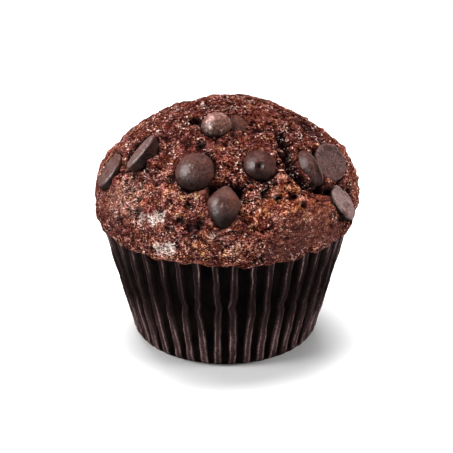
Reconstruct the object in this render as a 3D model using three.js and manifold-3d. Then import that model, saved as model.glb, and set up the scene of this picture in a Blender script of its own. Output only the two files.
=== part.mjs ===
// Chocolate chip muffin in a pleated paper case.
// Millimetres, +Z up. The origin is the centre of the flat bottom of the paper case.
import * as THREE from 'three';
import { mergeVertices } from 'three/addons/utils/BufferGeometryUtils.js';
import Module from 'manifold-3d';

// ---- driving dimensions -------------------------------------------------------------------

// Paper case: a flat bottom, a rounded edge, and a flared wall of pleats.
const BOTTOM_RADIUS = 24.4;
const EDGE_RADIUS = 4.6;
const EDGE_TURNS = [0, 45, 90];
const RIM_RADIUS = 37.6;
const RIM_HEIGHT = 38.3;
const WALL_BOW = 0.28;
const PAPER = 0.4;
const PLEATS = 42;
const RIM_PLEAT_DEPTH = 1.9;
const PLEAT_DEPTH_POWER = 0.6;
// Where the two edges of a raised fold and the two edges of a valley lie, in pleats.
const PLEAT_CORNERS = [-0.13, 0.13, 0.3, 0.7];
const WALL_RINGS = [0.45, 0.8, 1];

// Crumb: fills the case, swells over its rim, and rises to a dome.
const CROWN_RADIUS = 40;
const CROWN_HEIGHT = 45.9;
const CROWN_SHIFT = 0.7;
const DOME_RISE = 28.7;
const DOME_POWER = 1.77;
const DOME_RINGS = 10;
const LIP_RINGS = 3;
const LIP_RADIUS = 37.4;
const CRUMB_SEGMENTS = 72;
const SWELL = 0.7;
const SWELL_WAVES = [[3, 0.7], [5, 4.1], [8, 2]];

// Chips: drops with a flat base, half sunk in the crumb.
const CHIP_SEGMENTS = 14;
const CHIP_RINGS = 5;
const CHIP_EDGE = 0.8;
const WELL_DEPTH = 11;
const WELL_FLARE = 1.06;
// A chip stands on its edge where its axis and the way out of the dome agree less than this cosine.
const ON_EDGE = 0.6;

// Clearance between pieces that lie against each other.
const GAP = 0.35;

// at is the centre of a chip's flat base: azimuth in degrees round the muffin, distance from the
// muffin's axis, and height. points is where its tip points: heading and pitch, in degrees. size is
// its radius and its length. tip runs from 0.5, a round dome, to 1, a cone. A chip that lies on its
// side in the crumb has no well over it.
const CHIPS = [
  { at: [-106.4, 29.3, 61.7], points: [-92, 30], size: [5.6, 6.4], tip: 0.5, well: true },
  { at: [-70.2, 27.9, 62.8], points: [-89, 25], size: [4.6, 5.4], tip: 0.6, well: true },
  { at: [-89.4, 32.7, 59.6], points: [-100, -52], size: [4.7, 12], tip: 0.68, well: false },
  { at: [-100, 14.2, 70.2], points: [-94, 37], size: [4.3, 5.6], tip: 0.55, well: true },
  { at: [-79, 12.9, 69.3], points: [-6, 14], size: [4, 4.4], tip: 0.55, well: false },
  { at: [-38, 31.5, 59.8], points: [-148, -14], size: [5.8, 5.4], tip: 0.55, well: true },
  { at: [-27, 34.6, 60.6], points: [134, -30], size: [5.8, 5.6], tip: 0.6, well: true },
  { at: [-31, 40.2, 50.4], points: [163, -36], size: [5.7, 6], tip: 0.55, well: true },
  { at: [-144.6, 30.3, 64.7], points: [-3, -41], size: [5.8, 6.2], tip: 0.6, well: true },
  { at: [-161.4, 36.2, 56.8], points: [8, -38], size: [5.7, 6], tip: 0.55, well: true },
  { at: [33, 39, 52.9], points: [208, -28], size: [5.5, 6], tip: 0.6, well: true },
  { at: [62, 33.8, 56.8], points: [70, 34], size: [5.6, 6.4], tip: 0.6, well: true },
  { at: [78, 37.5, 50.2], points: [74, 14], size: [5.2, 6], tip: 0.6, well: true },
  { at: [88, 30.1, 63.8], points: [272, -46], size: [5.7, 6], tip: 0.55, well: true },
  { at: [112, 32.2, 58.4], points: [106, 46], size: [5.6, 6.6], tip: 0.55, well: true },
  { at: [126, 40.3, 49.1], points: [303, -20], size: [5.6, 6], tip: 0.6, well: true },
  { at: [146, 37, 55.8], points: [330, -30], size: [5.3, 5.8], tip: 0.55, well: true },
];

// ---- materials ----------------------------------------------------------------------------

const crumbMaterial = new THREE.MeshStandardMaterial({ color: 0x6e3b26, roughness: 0.8, metalness: 0 });
const paperMaterial = new THREE.MeshStandardMaterial({ color: 0x241715, roughness: 0.45, metalness: 0 });
const chipMaterial = new THREE.MeshStandardMaterial({ color: 0x46332f, roughness: 0.4, metalness: 0 });

// ---- shared helpers -----------------------------------------------------------------------

const wasm = await Module();
wasm.setup();

const UP = new THREE.Vector3(0, 0, 1);
const group = new THREE.Group();

// Turns a profile of [radius, height] points about the Z axis.
function turned(profile, segments) {
  const points = profile.map(([radius, height]) => new THREE.Vector2(radius, height));
  const lathe = new THREE.LatheGeometry(points, segments);
  lathe.rotateX(Math.PI / 2);
  lathe.deleteAttribute('normal');
  lathe.deleteAttribute('uv');
  return mergeVertices(lathe);
}

// Moves every vertex of a geometry to where place() says.
function moved(geometry, place) {
  const position = geometry.attributes.position;
  const point = new THREE.Vector3();
  for (let i = 0; i < position.count; i += 1) {
    point.fromBufferAttribute(position, i);
    place(point);
    position.setXYZ(i, point.x, point.y, point.z);
  }
  return geometry;
}

function toManifold(geometry) {
  return new wasm.Manifold(new wasm.Mesh({
    numProp: 3,
    vertProperties: new Float32Array(geometry.attributes.position.array),
    triVerts: new Uint32Array(geometry.index.array),
  }));
}

function fromManifold(solid) {
  const mesh = solid.getMesh();
  const geometry = new THREE.BufferGeometry();
  geometry.setAttribute('position', new THREE.BufferAttribute(mesh.vertProperties, 3));
  geometry.setIndex(new THREE.BufferAttribute(mesh.triVerts, 1));
  return geometry;
}

function addPiece(name, geometry, material) {
  geometry.computeVertexNormals();
  const mesh = new THREE.Mesh(geometry, material);
  mesh.name = name;
  group.add(mesh);
}

// ---- paper case ---------------------------------------------------------------------------

// Radius of the outer face of the folds at a height on the flared wall.
function wallRadius(height) {
  const along = (height - EDGE_RADIUS) / (RIM_HEIGHT - EDGE_RADIUS);
  const foot = BOTTOM_RADIUS + EDGE_RADIUS;
  return foot + (RIM_RADIUS - foot) * along + WALL_BOW * Math.sin(Math.PI * along);
}

// How far the valleys lie inside the folds: nothing at the bottom, most at the rim.
function pleatDepth(height) {
  return RIM_PLEAT_DEPTH * Math.max(0, height / RIM_HEIGHT) ** PLEAT_DEPTH_POWER;
}

// One side of the case wall from the bottom to the rim, set in from the outer face.
function casePoints(inset) {
  const points = [];
  const bend = EDGE_RADIUS - inset;
  for (const degrees of EDGE_TURNS) {
    const turn = THREE.MathUtils.degToRad(degrees);
    points.push([BOTTOM_RADIUS + bend * Math.sin(turn), EDGE_RADIUS - bend * Math.cos(turn)]);
  }
  for (const along of WALL_RINGS) {
    const height = EDGE_RADIUS + (RIM_HEIGHT - EDGE_RADIUS) * along;
    points.push([wallRadius(height) - inset, height]);
  }
  return points;
}

// Folds stand at the profile's radius and valleys lie inside it. Four corners make one pleat.
function pleat(point) {
  const radius = Math.hypot(point.x, point.y);
  if (radius < BOTTOM_RADIUS / 2) {
    return;
  }
  const corners = PLEAT_CORNERS.length;
  const turn = Math.atan2(point.y, point.x) / (2 * Math.PI);
  const step = Math.round((turn < 0 ? turn + 1 : turn) * PLEATS * corners);
  const corner = step % corners;
  const angle = 2 * Math.PI * (Math.floor(step / corners) + PLEAT_CORNERS[corner]) / PLEATS;
  const inValley = corner >= corners / 2;
  const reach = radius - (inValley ? pleatDepth(point.z) : 0);
  point.set(reach * Math.cos(angle), reach * Math.sin(angle), point.z);
}

function paperCase() {
  const outer = casePoints(0);
  const inner = casePoints(PAPER).reverse();
  const profile = [[0, 0], ...outer, ...inner, [0, PAPER]];
  return moved(turned(profile, PLEATS * PLEAT_CORNERS.length), pleat);
}

// ---- crumb --------------------------------------------------------------------------------

// The crumb's side inside the case, clear of the valleys.
function crumbSide() {
  const inset = PAPER + GAP;
  return casePoints(inset).map(([radius, height]) => [radius - pleatDepth(height), height]);
}

// The lip swells out from the rim of the case to the widest ring.
function lipPoints() {
  const points = [];
  const underside = RIM_HEIGHT + GAP;
  for (let ring = 0; ring <= LIP_RINGS; ring += 1) {
    const drop = 1 - ring / LIP_RINGS;
    const radius = LIP_RADIUS + (CROWN_RADIUS - LIP_RADIUS) * Math.sqrt(1 - drop * drop);
    points.push([radius, CROWN_HEIGHT - (CROWN_HEIGHT - underside) * drop]);
  }
  return points;
}

// The dome is a superellipse from the widest ring up to the axis.
function domePoints() {
  const points = [];
  for (let ring = 1; ring <= DOME_RINGS; ring += 1) {
    const rise = (ring / DOME_RINGS) * Math.PI / 2;
    const radius = CROWN_RADIUS * Math.max(0, Math.cos(rise)) ** (2 / DOME_POWER);
    points.push([radius, CROWN_HEIGHT + DOME_RISE * Math.sin(rise) ** (2 / DOME_POWER)]);
  }
  points[points.length - 1][0] = 0;
  return points;
}

// Uneven rising: slow waves over the lip and the dome, and the whole crown a little to one side.
function rise(point) {
  if (point.z <= RIM_HEIGHT + GAP) {
    return;
  }
  const angle = Math.atan2(point.y, point.x);
  const share = Math.min(1, (point.z - RIM_HEIGHT - GAP) / (CROWN_HEIGHT - RIM_HEIGHT));
  const edge = Math.min(1, Math.hypot(point.x, point.y) / CROWN_RADIUS);
  let wave = 0;
  for (const [lobes, phase] of SWELL_WAVES) {
    wave += Math.sin(lobes * angle + phase) / SWELL_WAVES.length;
  }
  const scale = 1 + (SWELL / CROWN_RADIUS) * wave * share * edge;
  point.set(point.x * scale + CROWN_SHIFT * share, point.y * scale, point.z);
}

function risenCrumb() {
  const floor = PAPER + GAP;
  const neck = [wallRadius(RIM_HEIGHT) - RIM_PLEAT_DEPTH - floor, RIM_HEIGHT + GAP];
  const side = crumbSide();
  const profile = [[0, floor], ...side, neck, ...lipPoints(), ...domePoints()];
  return moved(turned(profile, CRUMB_SEGMENTS), rise);
}

// ---- chips --------------------------------------------------------------------------------

function direction([headingDegrees, pitchDegrees]) {
  const heading = THREE.MathUtils.degToRad(headingDegrees);
  const pitch = THREE.MathUtils.degToRad(pitchDegrees);
  const flat = Math.cos(pitch);
  return new THREE.Vector3(flat * Math.cos(heading), flat * Math.sin(heading), Math.sin(pitch));
}

function baseCentre([azimuthDegrees, reach, height]) {
  const azimuth = THREE.MathUtils.degToRad(azimuthDegrees);
  return new THREE.Vector3(reach * Math.cos(azimuth), reach * Math.sin(azimuth), height);
}

// A drop standing on Z = 0, grown on every side by a clearance.
function drop([radius, length], tip, clearance) {
  const wide = radius + clearance;
  const profile = [[0, -clearance], [wide - CHIP_EDGE, -clearance]];
  for (let ring = 0; ring < CHIP_RINGS; ring += 1) {
    const along = ring / CHIP_RINGS;
    const height = CHIP_EDGE + (length + clearance - CHIP_EDGE) * along;
    profile.push([wide * (1 - along ** 2) ** tip, height]);
  }
  profile.push([0, length + clearance]);
  return turned(profile, CHIP_SEGMENTS);
}

// A flared shaft that opens the crumb above a chip to the air.
function well([radius]) {
  const wide = radius + GAP;
  const profile = [[0, 0], [wide, 0], [wide * WELL_FLARE, WELL_DEPTH], [0, WELL_DEPTH]];
  return turned(profile, CHIP_SEGMENTS);
}

// Stands a shape that was built on Z = 0 at a point, with its +Z along a direction.
function stood(geometry, axis, at) {
  geometry.applyQuaternion(new THREE.Quaternion().setFromUnitVectors(UP, axis));
  geometry.translate(at.x, at.y, at.z);
  return geometry;
}

// A well runs along the chip's own axis, on the side that faces out of the dome, or straight out
// of the dome where the chip stands on its edge.
function wellAxis(axis, at) {
  const outward = at.clone().sub(new THREE.Vector3(0, 0, RIM_HEIGHT)).normalize();
  const facing = axis.dot(outward);
  return Math.abs(facing) > ON_EDGE ? axis.clone().multiplyScalar(Math.sign(facing)) : outward;
}

// ---- assembly -----------------------------------------------------------------------------

let crumb = toManifold(risenCrumb());
CHIPS.forEach((chip, index) => {
  const axis = direction(chip.points);
  const at = baseCentre(chip.at);
  const pocket = stood(drop(chip.size, chip.tip, GAP), axis, at);
  crumb = crumb.subtract(toManifold(pocket));
  if (chip.well) {
    const shaft = stood(well(chip.size), wellAxis(axis, at), at);
    crumb = crumb.subtract(toManifold(shaft));
  }
  const number = String(index + 1).padStart(2, '0');
  addPiece(`chip_${number}`, stood(drop(chip.size, chip.tip, 0), axis, at), chipMaterial);
});
addPiece('crumb', fromManifold(crumb), crumbMaterial);
addPiece('paper_case', paperCase(), paperMaterial);

export default group;
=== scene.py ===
"""Chocolate chip muffin in a pleated paper case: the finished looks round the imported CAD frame.

Shapes are worked out in millimetres and turned into metres when a mesh is made. Azimuths are in
degrees, and -90 faces the camera.
"""
import math
from dataclasses import dataclass
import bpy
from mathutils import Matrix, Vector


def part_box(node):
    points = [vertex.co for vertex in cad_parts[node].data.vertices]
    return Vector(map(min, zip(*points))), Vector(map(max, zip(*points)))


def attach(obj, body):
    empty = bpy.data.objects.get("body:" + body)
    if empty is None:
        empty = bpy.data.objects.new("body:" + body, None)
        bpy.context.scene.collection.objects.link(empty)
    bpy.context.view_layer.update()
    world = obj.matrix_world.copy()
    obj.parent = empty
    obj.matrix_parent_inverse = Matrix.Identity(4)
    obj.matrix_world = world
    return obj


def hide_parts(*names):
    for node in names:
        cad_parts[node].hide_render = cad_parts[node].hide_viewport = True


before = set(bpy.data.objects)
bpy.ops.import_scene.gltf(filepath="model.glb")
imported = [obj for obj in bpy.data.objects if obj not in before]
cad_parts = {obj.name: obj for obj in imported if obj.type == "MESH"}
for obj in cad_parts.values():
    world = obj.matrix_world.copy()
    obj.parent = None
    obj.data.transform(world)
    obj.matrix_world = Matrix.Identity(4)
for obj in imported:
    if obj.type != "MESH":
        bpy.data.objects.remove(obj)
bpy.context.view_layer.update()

from types import SimpleNamespace

import bpy
import numpy as np
from mathutils import Vector, noise

MM = 0.001
TINY = 1e-9

# ---- sizes read from the frame, in millimetres ---------------

crumb_low, crumb_high = (np.array(corner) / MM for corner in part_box("crumb"))
case_low, case_high = (np.array(corner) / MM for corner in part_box("paper_case"))

RIM_HEIGHT = case_high[2]
RIM_RADIUS = (case_high[0] - case_low[0]) / 2
DOME_TOP = crumb_high[2]
OUTLINE_SHARE = 0.994  # the smooth outline's part of the CAD crown's width, before the lumps
CROWN_RADIUS = OUTLINE_SHARE * (crumb_high[0] - crumb_low[0]) / 2
CROWN_SHIFT = (crumb_high[0] + crumb_low[0]) / 2

# ---- the crumb's outline -------------------------------------

CROWN_HEIGHT = RIM_HEIGHT + 7.6
DOME_POWER = 1.77  # of the superellipse: 2 is an ellipse, less is more pointed
LIP_RADIUS = RIM_RADIUS + 0.1
LIP_BOTTOM = RIM_HEIGHT - 0.6
SWELL = 0.7
SWELL_WAVES = [(3, 0.7), (5, 4.1), (8, 2.0)]  # how many lobes go round, and their phase
SPACING = 0.36  # between vertices
ROW_SHARE = 0.866  # rows this much closer together make near-equilateral triangles
NORMAL_STEP = 0.4

# ---- the case's outline --------------------------------------

BOTTOM_RADIUS = 24.4
EDGE_RADIUS = 4.6
WALL_BOW = 0.28
PAPER = 0.3
PLEATS = 42
RIM_PLEAT_DEPTH = 1.9
PLEAT_DEPTH_POWER = 0.6


# ---- mesh helpers --------------------------------------------

def make_piece(name, points, faces, attributes):
    """A smooth-shaded mesh object from points in millimetres, with a number for each point."""
    mesh = bpy.data.meshes.new(name)
    mesh.from_pydata((points * MM).tolist(), [], faces)
    for key, values in attributes.items():
        layer = mesh.attributes.new(key, "FLOAT", "POINT")
        layer.data.foreach_set("value", np.asarray(values, np.float32))
    mesh.polygons.foreach_set("use_smooth", [True] * len(mesh.polygons))
    mesh.update()
    piece = bpy.data.objects.new(name, mesh)
    bpy.context.scene.collection.objects.link(piece)
    return piece


def around(radius, angle, height):
    """A list of points from cylinder coordinates, which are broadcast together."""
    corners = np.broadcast_arrays(radius * np.cos(angle), radius * np.sin(angle), height)
    return np.stack(corners, -1).reshape(-1, 3)


def stitch(first, second):
    """Triangles between two closed rings, each a list of (vertex, turn) with turns in [0, 1)."""
    first = first + [(first[0][0], first[0][1] + 1)]
    second = second + [(second[0][0], second[0][1] + 1)]
    faces = []
    a, b = 0, 0
    while a < len(first) - 1 or b < len(second) - 1:
        if b == len(second) - 1 or (a < len(first) - 1 and first[a + 1][1] <= second[b + 1][1]):
            faces.append((first[a][0], second[b][0], first[a + 1][0]))
            a += 1
        else:
            faces.append((first[a][0], second[b][0], second[b + 1][0]))
            b += 1
    return faces


def neighbours(ring):
    """Each vertex of a closed ring of (vertex, turn), with the one after it."""
    vertices = [vertex for vertex, _ in ring]
    return list(zip(vertices, vertices[1:] + vertices[:1]))


def ring_faces(rows, columns, first_corner=0):
    """Faces of a closed form of equal rings, whose last two vertices are the middles of its ends.

    Which corner comes first decides the diagonal along which a four-sided face is split.
    """
    last = (rows - 1) * columns
    middle = rows * columns
    faces = []
    for low in range(0, last, columns):
        high = low + columns
        for column in range(columns):
            after = (column + 1) % columns
            faces.append((low + column, low + after, high + after, high + column))
    for column in range(columns):
        after = (column + 1) % columns
        faces.append((middle, after, column))
        faces.append((middle + 1, last + column, last + after))
    return [face[first_corner:] + face[:first_corner] for face in faces]


def smooth_step(low, high, value):
    """0 at low, 1 at high, and a smooth rise between. high may be below low."""
    t = np.clip((value - low) / (high - low), 0, 1)
    return t * t * (3 - 2 * t)


def waves(points, size, offset, octaves=1):
    """Smooth noise of about -1 to 1 with bumps of a size in millimetres."""
    spots = points / size + offset
    if octaves == 1:
        return np.array([noise.noise(Vector(spot)) for spot in spots])
    return np.array([noise.fractal(Vector(spot), 1.0, 2.0, octaves) for spot in spots])


def cells(points, size, offset):
    """Distance to the nearest of scattered seeds, in seed spacings, and a number for the seed."""
    found = np.empty((len(points), 2))
    for row, spot in enumerate(points / size + offset):
        distances, seeds = noise.voronoi(Vector(spot))
        found[row] = distances[0], noise.cell(seeds[0] * 7.3)
    return found[:, 0], found[:, 1]


# ---- crumb: its smooth form ----------------------------------

def dome_outline(steps=4000):
    """Radius and height from the top of the dome, over the lip, to the bottom of the lip."""
    turn = np.linspace(math.pi / 2, 0, steps)
    radius = CROWN_RADIUS * np.maximum(np.cos(turn), 0) ** (2 / DOME_POWER)
    height = CROWN_HEIGHT + (DOME_TOP - CROWN_HEIGHT) * np.sin(turn) ** (2 / DOME_POWER)
    drop = np.linspace(0, 1, steps // 8)[1:]
    lip_radius = LIP_RADIUS + (CROWN_RADIUS - LIP_RADIUS) * np.sqrt(1 - drop ** 2)
    lip_height = CROWN_HEIGHT - (CROWN_HEIGHT - LIP_BOTTOM) * drop
    return np.concatenate([radius, lip_radius]), np.concatenate([height, lip_height])


OUTLINE_RADIUS, OUTLINE_HEIGHT = dome_outline()
OUTLINE_STEPS = np.hypot(np.diff(OUTLINE_RADIUS), np.diff(OUTLINE_HEIGHT))
OUTLINE_LENGTH = np.concatenate([[0], np.cumsum(OUTLINE_STEPS)])


def outline_at(length):
    """Radius and height at a distance down the outline from the top."""
    radius = np.interp(length, OUTLINE_LENGTH, OUTLINE_RADIUS)
    height = np.interp(length, OUTLINE_LENGTH, OUTLINE_HEIGHT)
    return radius, height


def outline_normal(length):
    """How far the outline's outward normal points out and up."""
    ahead_radius, ahead_height = outline_at(length + NORMAL_STEP)
    back_radius, back_height = outline_at(length - NORMAL_STEP)
    along_radius, along_height = ahead_radius - back_radius, ahead_height - back_height
    size = np.maximum(np.hypot(along_radius, along_height), TINY)
    return -along_height / size, along_radius / size


def on_dome(azimuth, height):
    """The point of the smooth dome at an azimuth and a height."""
    radius = np.interp(-height, -OUTLINE_HEIGHT, OUTLINE_RADIUS)
    turn = math.radians(azimuth)
    return np.array([radius * math.cos(turn), radius * math.sin(turn), height])


def risen(points):
    """Uneven rising: slow waves round the crown, and the whole crown a little to one side."""
    angle = np.arctan2(points[:, 1], points[:, 0])
    share = np.clip((points[:, 2] - RIM_HEIGHT) / (CROWN_HEIGHT - RIM_HEIGHT), 0, 1)
    edge = np.minimum(1, np.hypot(points[:, 0], points[:, 1]) / CROWN_RADIUS)
    wave = sum(np.sin(lobes * angle + phase) for lobes, phase in SWELL_WAVES) / len(SWELL_WAVES)
    scale = 1 + SWELL / CROWN_RADIUS * wave * share * edge
    moved = points.copy()
    moved[:, 0] = points[:, 0] * scale + CROWN_SHIFT * share
    moved[:, 1] = points[:, 1] * scale
    return moved


def crumb_rings():
    """Rings of vertices down the dome, close to evenly spaced: their lengths and turns."""
    rings = []
    rows = int(OUTLINE_LENGTH[-1] / (SPACING * ROW_SHARE))
    for index, length in enumerate(np.arange(1, rows + 1) * SPACING * ROW_SHARE):
        radius, _ = outline_at(length)
        count = max(6, round(2 * math.pi * radius / SPACING))
        rings.append((length, (np.arange(count) + 0.5 * (index % 2)) / count))
    return rings


# ---- what the frame says about the chips ---------------------

@dataclass
class Traits:
    """What can set one chip apart from the others."""

    tip: float = 0.55  # 0.5 is a round dome, 1 a cone
    edge: tuple = (0.8, 0.8, 2.0)  # the rounding round the base: width, height, and power (2: round)
    recess: float = 0.15  # how far the middle of the base is hollowed
    smear: float = 0.1  # how much crumb clings to it
    dimple: float = 0.0  # how deep its tip has melted in
    sunk: float = 0.0  # how much painted shade darkens its sides in the gap round them
    dust: float = 0.12  # how much pale cocoa dust it carries
    bloom_and_sheen: float = 1.0  # how pale its flat base is: bloom and painted sheen


CHIP_TRAITS = {
    "chip_01": Traits(tip=0.5, smear=0.0, dust=0.1),
    "chip_02": Traits(tip=0.6, dimple=1.1, dust=0.0),
    "chip_03": Traits(tip=0.7, edge=(4.5, 5.0, 1.35), smear=0.15, dust=0.1),
    "chip_04": Traits(smear=0.55, dust=1.8),
    "chip_05": Traits(smear=0.5, dust=0.1),
    "chip_06": Traits(tip=0.5, smear=0.05),
    "chip_07": Traits(tip=0.7, recess=0.5, smear=0.0, sunk=0.95, dust=0.0, bloom_and_sheen=0.6),
    "chip_08": Traits(tip=0.7, recess=0.25, smear=0.0, sunk=0.95, dust=0.3, bloom_and_sheen=1.7),
    "chip_09": Traits(tip=0.7, smear=0.05, sunk=0.8),
    "chip_10": Traits(tip=0.7, smear=0.05, sunk=0.8, bloom_and_sheen=0.5),
    "chip_11": Traits(tip=0.7, recess=0.3, sunk=0.8),
    "chip_12": Traits(tip=0.6, dimple=0.6),
    "chip_14": Traits(tip=0.7, sunk=0.8),
    "chip_15": Traits(smear=0.5),
    "chip_16": Traits(tip=0.7, recess=0.4, sunk=0.8),
    "chip_17": Traits(tip=0.7, sunk=0.8),
}
SAME_FACING = 0.9995  # cosine between the normals of triangles that are on one flat face


def solid_triangles(node):
    """The triangles of a CAD solid."""
    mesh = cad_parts[node].data
    mesh.calc_loop_triangles()
    corners = np.array([vertex.co for vertex in mesh.vertices]) / MM
    return corners[np.array([face.vertices for face in mesh.loop_triangles])]


def largest_flat(triangles):
    """Centre and outward normal of the largest flat face that the triangles make."""
    spans = np.cross(triangles[:, 1] - triangles[:, 0], triangles[:, 2] - triangles[:, 0])
    areas = np.linalg.norm(spans, axis=1)
    normals = spans / np.maximum(areas, TINY)[:, None]
    level = normals @ normals.T > SAME_FACING
    face = level[np.argmax(level @ areas)]
    centre = np.average(triangles[face].mean(1), axis=0, weights=areas[face])
    normal = np.average(normals[face], axis=0, weights=areas[face])
    return centre, normal / np.linalg.norm(normal)


class Chip:
    """A chip's base centre, axis, radius and length, read from its CAD solid."""

    def __init__(self, node):
        self.node = node
        self.traits = CHIP_TRAITS.get(node, Traits())
        triangles = solid_triangles(node)
        self.centre, facing = largest_flat(triangles)
        self.axis = -facing
        offset = triangles.reshape(-1, 3) - self.centre
        along = offset @ self.axis
        self.length = along.max()
        self.radius = np.linalg.norm(offset - along[:, None] * self.axis, axis=1).max()

    def clearance(self, points):
        """Rough distance from points to the chip's surface, below 0 inside it."""
        offset = points - self.centre
        along = offset @ self.axis
        out = np.linalg.norm(offset - along[..., None] * self.axis, axis=-1)
        narrowing = np.clip(1 - np.clip(along / self.length, 0, 1) ** 2, 0, 1)
        wide = self.radius * narrowing ** self.traits.tip
        return np.maximum(out - wide, np.maximum(-along, along - self.length))


CHIPS = [Chip(name) for name in sorted(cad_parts) if name.startswith("chip_")]


# ---- crumb: places on its surface ----------------------------

# Places on the smooth dome start with an azimuth and a height. Azimuths above 0 are on the back,
# out of the photo's sight, and guessed.
# Hollows: azimuth, height, radius and depth. A depth below 0 is a lump.
HOLLOWS = [
    (-150, 74.3, 6.0, 0.7),
    (-2, 66.5, 7.0, 1.2),
    (-127, 71.9, 2.0, 2.6),
    (-108, 68.0, 1.8, 1.6),
    (-48, 66.8, 1.6, 2.4),
    (-52, 64.4, 2.2, 2.6),
    (-54, 61.6, 2.0, 2.0),
    (-43, 55.6, 1.6, 1.6),
    (-55, 53.4, 1.2, 1.3),
    (-131, 54.1, 1.1, 1.5),
    (-140, 46.8, 1.3, 1.7),
    (-71, 57.6, 1.8, 1.2),
    (-66, 56.4, 1.6, 1.1),
    (-105, 55.0, 1.3, 1.2),
    (-118, 60.5, 1.5, 1.3),
    (-83, 70.0, 1.2, 1.0),
    (-60, 71.5, 1.4, 1.2),
    (-132, 65.0, 1.5, 1.4),
    (-75, 51.8, 2.6, -0.7),
    (-64, 52.4, 2.2, -0.5),
    (-131, 61.6, 2.2, -0.9),
    (-144, 57.0, 2.0, -0.9),
    (-44, 49.6, 2.2, -0.8),
    (-108, 50.7, 1.7, 1.3),
    (-104, 49.4, 1.7, 1.5),
    (-100, 50.6, 1.8, 1.6),
    (-112, 48.6, 1.4, 1.2),
    (-91, 64.8, 3.4, -1.3),
    (-132, 63.5, 4.0, -1.6),
    (-38, 48.8, 3.2, -1.5),
    (-150, 66.5, 7.0, -0.8),
    (-99, 73.2, 3.2, 0.7),
    (-151, 56.0, 1.5, -0.9),
    (-96, 45.4, 1.6, -0.8),
    (20, 64.8, 1.5, 1.8),
    (60, 69.3, 1.8, 1.6),
    (100, 55.8, 1.6, 1.7),
    (128, 64.8, 1.7, 1.9),
    (160, 61.8, 1.4, 1.5),
    (172, 49.3, 1.3, 1.4),
    (48, 48.8, 1.4, 1.6),
    (5, 50.8, 1.2, 1.5),
]
# Cracks: width and depth, then the azimuth and height of each point along the crack.
CRACKS = [
    (1.6, 3.0, [(-45, 68.3), (-49, 65.2), (-53, 61.8), (-51, 58.2), (-44, 55.6), (-38, 54.4)]),
    (0.5, 0.8, [(-146, 53.3), (-138, 55.4), (-130, 57.2)]),
    (0.7, 1.1, [(-128, 72.2), (-118, 71.8)]),
    (0.6, 0.9, [(-84, 52.0), (-79, 50.0), (-72, 48.8)]),
    (0.9, 1.7, [(100, 67.8), (112, 65.8), (122, 65.2), (131, 62.2)]),
    (0.7, 1.2, [(18, 56.8), (24, 60.4), (21, 64.2)]),
    (0.6, 1.1, [(165, 64.8), (176, 61.4), (184, 60.2)]),
    (0.6, 1.0, [(70, 46.3), (84, 45.3), (95, 46.8)]),
]
# Smooth crust: azimuth, height, radius and strength.
CRUSTS = [
    (-58, 46.0, 8.0, 1.0),
    (-42, 46.3, 8.0, 1.0),
    (-66, 42.3, 6.0, 0.9),
    (-150, 48.8, 8.0, 0.5),
    (10, 45.8, 9.0, 0.8),
    (90, 43.8, 8.0, 0.8),
    (128, 43.8, 9.0, 0.9),
    (-176, 45.8, 7.0, 0.6),
]
# Moist, glossy patches, which also get a painted highlight: azimuth, height, radius and strength.
GLOSS_AND_HIGHLIGHT_SPOTS = [
    (-128, 49.4, 2.0, 0.55),
    (-121.5, 50.0, 2.2, 1.0),
    (-117.5, 50.8, 1.8, 0.8),
    (-113.5, 42.4, 2.4, 1.0),
    (-118.5, 41.4, 2.1, 0.75),
    (-95, 47.6, 1.8, 0.35),
    (-137, 53.5, 6.0, 0.22),
    (-145, 50.0, 5.0, 0.2),
    (-66, 57.4, 1.1, 0.4),
    (60, 54.8, 4.0, 0.4),
    (150, 45.8, 4.0, 0.4),
]
# Warm orange crumb: azimuth, height, radius and strength.
AMBERS = [
    (-74, 51.0, 4.5, 0.9),
    (-62, 53.2, 6.0, 0.9),
    (-66, 57.0, 4.0, 0.6),
    (-48, 51.5, 5.0, 0.7),
    (-128, 53.2, 3.2, 0.7),
    (-112, 53.5, 2.6, 0.4),
    (-88, 64.2, 2.6, 0.8),
    (-80, 57.4, 2.8, 0.5),
    (-40, 48.6, 3.2, 0.4),
    (-150, 48.5, 3.4, 0.4),
    (-98, 44.6, 3.0, 0.4),
    (40, 60.0, 4.0, 0.6),
    (120, 52.0, 4.0, 0.6),
    (170, 60.0, 4.0, 0.6),
]
# Heights between which the dome goes over to its darker top, painted shade with some browning, and to
# its shaded lip.
TOP_SHADE_AND_BROWNING = (57.0, 68.0)
SHADED_LIP = (47.0, 41.0)

FULLNESS = -0.1  # moves the whole lumpy surface out, or in when below 0
LEVEL_STRETCH = np.array([1.0, 1.0, 1.7])  # flattens patterns, so that they lie level
POCKET_DEPTH = 3.2
POCKET_GAP = 0.45  # how far outside a chip its pocket starts
COLLAR = 0.25  # height of the crumb pushed up round a chip
CHIP_REACH = 3.0  # how far from a chip its pocket and collar may go
LOOK_AHEAD = np.linspace(-0.5, 6, 16)  # along the normal, where a chip is looked for
LIP_FADE = 2.5  # the relief fades out over this length above the bottom of the lip
LIP_HANG = 4.0  # the lip's edge is uneven over this length


# ---- crumb: the shape of its surface -------------------------

def spots(points, places):
    """The strongest of several soft round spots at each point, from 0 to 1."""
    strongest = np.zeros(len(points))
    for azimuth, height, radius, strength in places:
        away = np.linalg.norm(points - on_dome(azimuth, height), axis=1)
        strongest = np.maximum(strongest, strength * smooth_step(radius * 1.25, radius * 0.55, away))
    return strongest


def away_from_path(points, path):
    """Distance from points to a path over the dome, given by azimuths and heights."""
    corners = [on_dome(*place) for place in path]
    nearest = np.full(len(points), np.inf)
    for start, end in zip(corners, corners[1:]):
        span = end - start
        share = np.clip((points - start) @ span / (span @ span), 0, 1)
        away = np.linalg.norm(points - start - share[:, None] * span, axis=1)
        nearest = np.minimum(nearest, away)
    return nearest


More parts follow.
